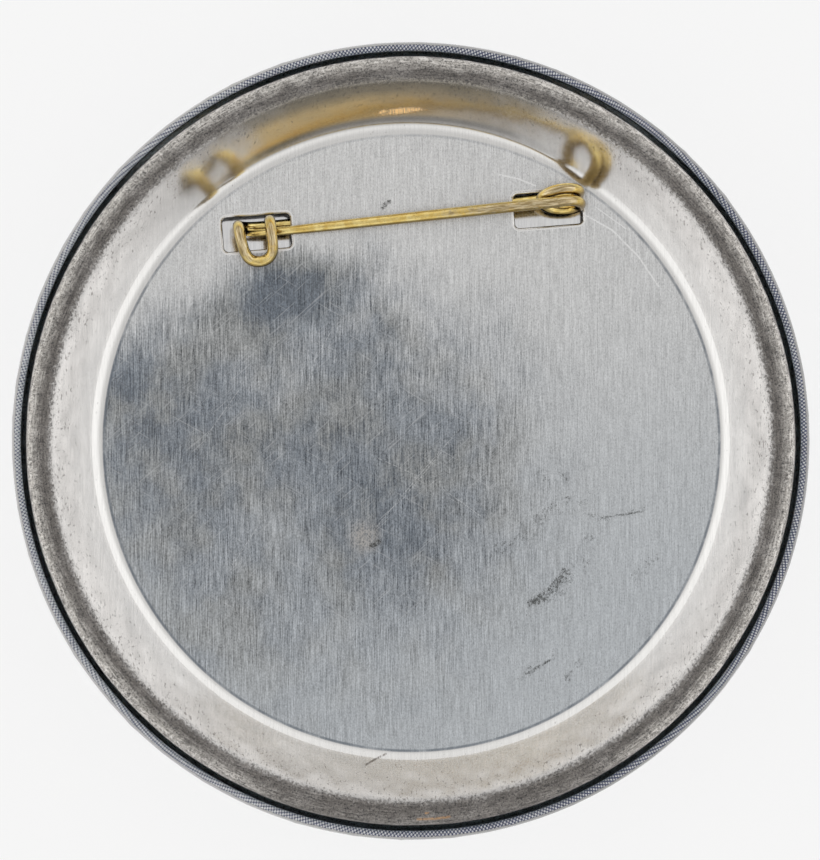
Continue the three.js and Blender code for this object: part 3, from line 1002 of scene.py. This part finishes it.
def wall_colour(sh, place, radius, fine):
    """The sloped wall: warm-white tin, finely pitted, with the wire's reflection painted in gold where it
    faces the wire most closely and a painted orange highlight in the dimple.
    """
    wall = sh.blend(sh.ramp(radius, 23.1, 25.0), (0.985, 0.972, 0.96), (0.83, 0.81, 0.795))
    wall = sh.blend(sh.ramp(radius, 23.0, 22.7), wall, (0.86, 0.852, 0.84))
    wall = sh.blend(sh.ramp(fine, 0.3, 0.7, 0.16, 0.0), wall, (0.45, 0.44, 0.43))
    # painted reflection: the brass wire's reflection is fixed in the wall's colour
    reflection_share, reflected_gold = painted_wire_reflection(sh, place, radius)
    wall = sh.blend(reflection_share, wall, reflected_gold)
    glint = wall_glint(sh, fine)
    # painted highlight: the dimple's orange glint is fixed in the wall's colour
    wall = sh.blend(glint, wall, (1.0, 0.62, 0.27))
    pit_noise = sh.grain((5.5, 2.6, 4.0), ROLL, (5, 5, 5))
    limit = sh.ramp(radius, 22.8, 26.0, 0.66, 0.55, False)
    pits = sh.ramp(sh.minus(pit_noise, limit), 0.0, 0.06)
    wall = sh.blend(sh.times(pits, 0.55), wall, (0.17, 0.155, 0.14))
    wall = sh.blend(sh.ramp(radius, 25.35, 25.95, 0.0, 0.7), wall, (0.30, 0.29, 0.28))
    chip = sh.times(strokes(sh, sh.flat(place), WALL_CHIP), sh.ramp(fine, 0.30, 0.50))
    return sh.blend(sh.times(chip, 0.7), wall, (0.13, 0.10, 0.08)), glint


def round_grain(sh, radius, level):
    """Noise streaked round the badge."""
    x, y, _ = sh.parts(level)
    angle = sh.math("ARCTAN2", y, x)
    across, up = sh.math("COSINE", angle), sh.math("SINE", angle)
    streaked = sh.combine(sh.times(radius, 9.0), sh.times(across, 22.0), sh.times(up, 22.0))
    return sh.noise(streaked, 1.0, 4, 0.65)


def rim_colour(sh, place, level, radius, wobble):
    """The rim: grimy inside its crest, rubbed pale towards its outer edge, with painted shade that darkens it
    all round the near side.
    """
    round_lines = round_grain(sh, radius, level)
    grime = sh.noise(place, 7.0, 4, 0.8)
    cover = sh.noise(level, 0.30, 4, 0.6)
    shifted = sh.plus(radius, sh.times(sh.minus(wobble, 0.5), 0.7))
    # painted shade: the pale rubbing is held back on the near side so the rim stays dark there
    painted_near_shade = sh.ramp(sh.plus(sh.parts(level)[1], sh.times(cover, 4.0)), -20.5, -23.0)
    rubbed = sh.times(sh.ramp(shifted, 26.35, 27.2), sh.mix(painted_near_shade, 1.0, 0.15))
    base = sh.blend(rubbed, (0.205, 0.191, 0.179), (0.50, 0.475, 0.445))
    base = sh.blend(sh.times(sh.ramp(cover, 0.46, 0.66), 0.35), base, (0.42, 0.40, 0.385))
    tone = sh.plus(sh.swing(round_lines, 0.42), sh.swing(grime, 0.50))
    colour = sh.vector("SCALE", base, scale=sh.plus(tone, 1.0))
    flange = sh.ramp(sh.parts(place)[2], RIM_Z - 0.45, RIM_Z - 0.75)
    colour = sh.blend(flange, colour, (0.66, 0.74, 0.78))
    blotches = sh.ramp(sh.grain((1.7, 1.7, 1.7), 0.0, (2, 6, 8), detail=5, roughness=0.8), 0.50, 0.60)
    colour = sh.blend(sh.times(blotches, 0.42), colour, (0.085, 0.080, 0.078))
    black = sh.ramp(sh.grain((7.0, 7.0, 7.0), 0.0, (3, 1, 7)), 0.55, 0.61)
    colour = sh.blend(sh.times(black, 0.8), colour, (0.055, 0.055, 0.06))
    scuffs = sh.ramp(sh.grain((5.0, 5.0, 5.0), 0.0, (8, 2, 5), detail=4, roughness=0.75), 0.53, 0.60)
    scuffs = sh.math("MAXIMUM", scuffs, sh.ramp(round_lines, 0.56, 0.64))
    colour = sh.blend(sh.times(scuffs, sh.times(rubbed, 0.8)), colour, (0.80, 0.775, 0.74))
    rust = sh.times(strokes(sh, level, RUST), sh.ramp(grime, 0.35, 0.6))
    grit = sh.plus(grime, round_lines)
    return sh.blend(sh.times(rust, 0.6), colour, (0.72, 0.38, 0.14)), grit


def joint_line(sh, level, pressed, wobble):
    """The fine dark line where the panel meets its fillet, fainter at the top."""
    line = sh.ramp(sh.math("ABSOLUTE", sh.minus(pressed, PRESS_RADIUS)), 0.15, 0.03)
    line = sh.times(line, sh.ramp(sh.parts(level)[1], 20.0, 12.0, 0.35, 1.0))
    return sh.times(line, sh.ramp(wobble, 0.3, 0.6, 0.35, 0.75))


def plate_material():
    """Scuffed tinplate over the whole back plate: panel, sloped wall, rim and flange."""
    material, sh = start_material("scuffed_tinplate")
    place = sh.place()
    level = sh.flat(place)
    radius = sh.distance(level, (0, 0, 0))
    wobble = sh.noise(place, 0.9, 3)
    fine = sh.grain((12.0, 0.55, 0.55), ROLL, roughness=0.65)
    long_lines = sh.grain((4.5, 0.05, 0.05), ROLL, (7, 3, 1), roughness=0.55)
    mottle = sh.grain((11.0, 7.0, 7.0), ROLL, (2, 9, 4))
    jag = sh.minus(sh.grain((5.0, 4.0, 5.0), detail=5, roughness=0.88), 0.5)
    to_rim = sh.ramp(sh.plus(radius, sh.times(jag, 2.2)), 25.72, 26.02)
    pressed = sh.distance(level, PRESS_MIDDLE)
    to_wall = sh.ramp(pressed, PRESS_RADIUS + 0.01, PRESS_RADIUS + 0.12)

    panel, cloud = panel_colour(sh, level, (fine, long_lines, mottle))
    wall, glint = wall_colour(sh, place, radius, fine)
    rim, grit = rim_colour(sh, place, level, radius, wobble)
    colour = sh.blend(to_rim, sh.blend(to_wall, panel, wall), rim)
    colour = sh.blend(joint_line(sh, level, pressed, wobble), colour, (0.16, 0.185, 0.22))
    colour, scratches = panel_marks(sh, level, radius, colour, mottle)
    # painted highlight: the slot lips are painted near-white where their rolled edges catch the light
    lip_highlight = sh.ramp(sh.attribute("slot_lip", "Fac"), 0.2, 0.9)
    colour = sh.blend(sh.times(lip_highlight, 0.9), colour, (0.97, 0.965, 0.955))

    rough = sh.mix(to_rim, sh.mix(to_wall, sh.mix(cloud, 0.30, 0.38), 0.18), 0.42)
    rough = sh.plus(rough, sh.swing(mottle, 0.05))
    flat_share = sh.mix(to_rim, sh.mix(to_wall, 1.0, 0.4), 0.3)
    normal = sh.bump(sh.times(sh.plus(fine, long_lines), flat_share), 0.0035)
    normal = sh.bump(sh.times(grit, to_rim), 0.012, normal)
    normal = sh.bump(sh.times(scratches, -1.0), 0.004, normal)
    normal = sh.lean_normal(sh.times(glint, 0.8), normal, (0.0, -0.42, 0.91))
    sh.finish(sh.principled(Base_Color=colour, Metallic=1.0, Roughness=rough, Normal=normal))
    return material


# ---------------------------------------------------------------- the other materials

SHELL_INSIDE_NORMAL = (0.03, 0.035, 1.0)  # under the slots the pressed face is flatter than a true dome


def shell_material():
    """Bright tinplate inside the badge, kept clean by the back."""
    material, sh = start_material("bright_tinplate")
    hair = sh.grain((8.0, 0.5, 0.5), ROLL, roughness=0.6)
    stain = sh.noise(sh.place(), 0.5, 4, 0.6)
    colour = sh.blend(sh.ramp(hair, 0.35, 0.65), (0.84, 0.84, 0.85), (0.95, 0.95, 0.95))
    colour = sh.blend(sh.ramp(stain, 0.55, 0.75, 0.0, 0.25), colour, (0.6, 0.58, 0.54))
    rough = sh.ramp(hair, 0.2, 0.8, 0.05, 0.11)
    inside = sh.ramp(sh.distance(sh.flat(sh.place()), (0, 0, 0)), 24.5, 23.0)
    normal = sh.lean_normal(inside, sh.add("ShaderNodeNewGeometry").outputs["Normal"], SHELL_INSIDE_NORMAL)
    normal = sh.bump(hair, 0.002, normal)
    sh.finish(sh.principled(Base_Color=colour, Metallic=1.0, Roughness=rough, Normal=normal))
    return material


def drawn_lines(sh):
    """Noise drawn out along the wire."""
    along, share, _ = sh.parts(sh.attribute("wire_place", "Vector"))
    turn = sh.times(share, 2 * math.pi)
    across, up = sh.math("SINE", turn), sh.math("COSINE", turn)
    return sh.noise(sh.combine(sh.times(along, 1.1), sh.times(across, 5.0), sh.times(up, 5.0)), 1.0, 4, 0.65)


def brass_material():
    """Brass plate over steel: drawn lines along the wire, tarnish, bare metal where it rubs, and painted
    shade on the sides turned down or to the near edge.
    """
    material, sh = start_material("brass_plated_wire")
    place = sh.place()
    drawn = drawn_lines(sh)
    patchy = sh.noise(place, 1.3, 5, 0.7)
    fine = sh.noise(place, 8.0, 4, 0.7)
    brass = sh.blend(sh.ramp(patchy, 0.35, 0.65), (0.76, 0.54, 0.16), (0.98, 0.80, 0.34))
    brass = sh.blend(sh.ramp(drawn, 0.50, 0.66, 0.0, 0.50), brass, (0.36, 0.25, 0.09))
    brass = sh.blend(sh.ramp(fine, 0.58, 0.72, 0.0, 0.6), brass, (0.20, 0.13, 0.05))
    bare = sh.blend(sh.ramp(drawn, 0.38, 0.58), (0.68, 0.58, 0.42), (0.28, 0.20, 0.11))
    edge = sh.plus(sh.attribute("rubbed", "Fac"), sh.times(sh.minus(patchy, 0.5), 1.3))
    worn = sh.ramp(edge, 0.55, 0.95, 0.0, 0.80)
    # painted shade: sides turned down or to the near edge are darkened in the colour
    colour = sh.blend(sh.attribute("painted_side_shade", "Fac"), sh.blend(worn, brass, bare), (0.16, 0.10, 0.035))
    rough = sh.mix(worn, sh.ramp(fine, 0.3, 0.7, 0.10, 0.22), 0.20)
    normal = sh.bump(sh.plus(drawn, sh.times(fine, 0.6)), 0.006)
    sh.finish(sh.principled(Base_Color=colour, Metallic=1.0, Roughness=rough, Normal=normal))
    return material


DOT_PITCH = 0.2117  # a 120 line-per-inch screen
DOT_TURN = math.radians(42)


def dot_distance(sh, flat):
    """How far a point of the printed sheet is from the middle of the nearest dot, in pitches."""
    turned = sh.add("ShaderNodeMapping")
    sh.put(turned.inputs["Vector"], flat)
    turned.inputs["Rotation"].default_value = (0, 0, DOT_TURN)
    turned.inputs["Scale"].default_value = (1 / DOT_PITCH, 1 / DOT_PITCH, 1)
    x, y, _ = sh.parts(turned.outputs[0])
    off_x = sh.minus(sh.math("FRACT", x), 0.5)
    off_y = sh.minus(sh.math("FRACT", y), 0.5)
    return sh.math("SQRT", sh.plus(sh.times(off_x, off_x), sh.times(off_y, off_y)))


def paper_material():
    """White paper printed with a blue tint, as round gaps in the ink, and left bare along its tucked edge."""
    material, sh = start_material("halftone_print")
    place = sh.place()
    flat = sh.attribute("flat_place", "Vector")
    opening = sh.ramp(sh.noise(flat, 0.16, 4, 0.6), 0.3, 0.7, 0.33, 0.40)
    opening = sh.plus(opening, sh.ramp(sh.parts(flat)[0], 4.0, -20.0, 0.0, 0.09))
    open_paper = sh.ramp(sh.minus(opening, dot_distance(sh, flat)), -0.04, 0.04)
    ink = sh.blend(sh.noise(flat, 2.5, 3, 0.6), (0.024, 0.036, 0.110), (0.055, 0.075, 0.195))
    fibre = sh.noise(place, 14.0, 4, 0.7)
    paper = sh.blend(fibre, (0.93, 0.94, 0.96), (1.0, 1.0, 1.0))
    patchy = sh.ramp(sh.noise(flat, 5.0, 2, 0.6), 0.38, 0.55, 0.70, 1.0)
    colour = sh.blend(sh.times(open_paper, patchy), ink, paper)
    border = sh.ramp(sh.parts(place)[2], EDGE_Z - 0.25, EDGE_Z - 0.45)
    inner_face = sh.ramp(sh.distance(sh.flat(place), (0, 0, 0)), EDGE_R + 0.05, EDGE_R - 0.02)
    colour = sh.blend(sh.times(border, inner_face), colour, paper)
    rough = sh.ramp(fibre, 0.2, 0.8, 0.45, 0.62)
    sh.finish(sh.principled(Base_Color=colour, Roughness=rough, Normal=sh.bump(fibre, 0.004)))
    return material


def film_haze(sh, place, scuff, speck):
    """The milky look of film that the crimp stretched: its shader, and how much of it shows."""
    x, _, z = sh.parts(place)
    grey = sh.blend(speck, (0.47, 0.47, 0.48), (0.62, 0.61, 0.60))
    grey = sh.blend(sh.ramp(x, -12.0, 16.0, 0.0, 0.8), grey, (0.37, 0.37, 0.375))
    shader = sh.principled(Base_Color=grey, Roughness=sh.ramp(scuff, 0.3, 0.7, 0.25, 0.4))
    radius = sh.distance(sh.flat(place), (0, 0, 0))
    wavy = sh.plus(radius, sh.times(sh.minus(sh.noise(place, 1.3, 3), 0.5), 0.12))
    side = sh.ramp(wavy, BADGE_RADIUS - 0.25, BADGE_RADIUS - 0.17, 0.0, 0.85)
    return shader, sh.times(side, sh.ramp(z, EDGE_Z - 0.55, EDGE_Z - 0.15))


def film_material():
    """Clear polyester film, hazed where the crimp stretched it. Light shines through it on to the print."""
    material, sh = start_material("clear_polyester")
    place = sh.place()
    scuff = sh.grain((6.0, 0.7, 2.0), 0.6, detail=4)
    speck = sh.noise(place, 5.0, 3, 0.6)
    rough = sh.ramp(scuff, 0.35, 0.75, 0.03, 0.12)
    tint = sh.blend(sh.ramp(speck, 0.3, 0.7), (0.95, 0.96, 0.97), (0.99, 0.99, 0.99))
    clear = sh.principled(Base_Color=tint, Roughness=rough, Transmission_Weight=1.0, IOR=1.45,
                          Normal=sh.bump(scuff, 0.001))
    haze, share = film_haze(sh, place, scuff, speck)
    film = sh.mix_shaders(share, clear, haze)
    through = sh.add("ShaderNodeBsdfTransparent").outputs[0]
    shadow_ray = sh.add("ShaderNodeLightPath").outputs["Is Shadow Ray"]
    sh.finish(sh.mix_shaders(shadow_ray, film, through))
    return material


def floor_material():
    """A pale lit sweep: mostly its own soft light, with a little that takes shadow."""
    material, sh = start_material("pale_floor")
    diffuse = sh.add("ShaderNodeBsdfDiffuse")
    sh.put(diffuse.inputs["Color"], (0.12, 0.12, 0.12))
    glow = sh.add("ShaderNodeEmission")
    sh.put(glow.inputs["Color"], (1.0, 1.0, 1.0))
    sh.put(glow.inputs["Strength"], 0.82)
    both = sh.add("ShaderNodeAddShader")
    sh.put(both.inputs[0], diffuse.outputs[0])
    sh.put(both.inputs[1], glow.outputs[0])
    sh.finish(both.outputs[0])
    return material


# ---------------------------------------------------------------- studio

VIEW_HEIGHT = 61.59  # millimetres of the object's plane that the tall side of the picture takes in
VIEW_SHIFT = (-0.05, 0.78)  # where the middle of the picture is, right of and above the badge's middle
SKY_OVERHEAD = 0.66  # brightness of the tent straight overhead
SKY_ROUND = 0.85  # and lower down, on the far and the near side
SKY_SIDES = 0.28  # what the left and right sides add to that
SKY_NEAR_LOW = 0.35  # how much of it is left low down on the near side
FLOOR_HALF = 3.0  # metres
FLOOR_DROP = 0.0002


def camera():
    """Looks straight down from far off, turned so that the line of the slots rises to the right."""
    data = bpy.data.cameras.new("camera")
    data.lens = 800
    data.sensor_width = 36
    data.clip_start = 0.1
    data.clip_end = 20
    obj = bpy.data.objects.new("camera", data)
    bpy.context.scene.collection.objects.link(obj)
    right = Vector((math.cos(ROLL), -math.sin(ROLL), 0))
    up = Vector((math.sin(ROLL), math.cos(ROLL), 0))
    height = VIEW_HEIGHT * data.lens / data.sensor_width
    obj.location = (right * VIEW_SHIFT[0] + up * VIEW_SHIFT[1] + Vector((0, 0, height + SHOULDER_Z))) * MM
    obj.rotation_euler = (0, 0, -ROLL)
    bpy.context.scene.camera = obj


def studio_sky():
    """A white tent: dimmer straight overhead, bright to the sides, dark low down on the near side."""
    world = bpy.data.worlds.new("studio")
    sh = Shader(world)
    x, y, z = sh.parts(sh.add("ShaderNodeTexCoord").outputs["Generated"])
    across = sh.math("SQRT", sh.plus(sh.times(x, x), sh.times(y, y)))
    across = sh.math("MAXIMUM", across, 0.001)
    sideways = sh.math("ABSOLUTE", sh.math("DIVIDE", x, across))
    nearness = sh.times(sh.math("DIVIDE", y, across), -1.0)
    sides = sh.plus(sh.times(sh.math("POWER", sideways, 1.2), SKY_SIDES), SKY_ROUND)
    low = sh.times(sh.ramp(z, 0.55, 0.08), sh.ramp(nearness, 0.55, 1.0))
    sides = sh.times(sides, sh.ramp(low, 0.0, 1.0, 1.0, SKY_NEAR_LOW, False))
    background = sh.add("ShaderNodeBackground")
    sh.put(background.inputs["Color"], (1.0, 0.995, 0.985))
    sh.put(background.inputs["Strength"], sh.mix(sh.ramp(z, 0.62, 0.97), sides, SKY_OVERHEAD))
    sh.finish(background.outputs[0], "ShaderNodeOutputWorld")
    bpy.context.scene.world = world


def floor():
    mesh = bpy.data.meshes.new("floor")
    corners = [(x * FLOOR_HALF, y * FLOOR_HALF, -FLOOR_DROP) for x, y in ((-1, -1), (1, -1), (1, 1), (-1, 1))]
    mesh.from_pydata(corners, [], [(0, 1, 2, 3)])
    obj = bpy.data.objects.new("floor", mesh)
    bpy.context.scene.collection.objects.link(obj)
    mesh.materials.append(floor_material())


camera()
studio_sky()
floor()
bpy.context.scene.view_settings.view_transform = "Standard"

clear_film(film_material())
printed_paper(paper_material())
front_shell(shell_material())
back_plate(plate_material())
wire_brass = brass_material()
pin_wire(wire_brass)
pin_arm(wire_brass)
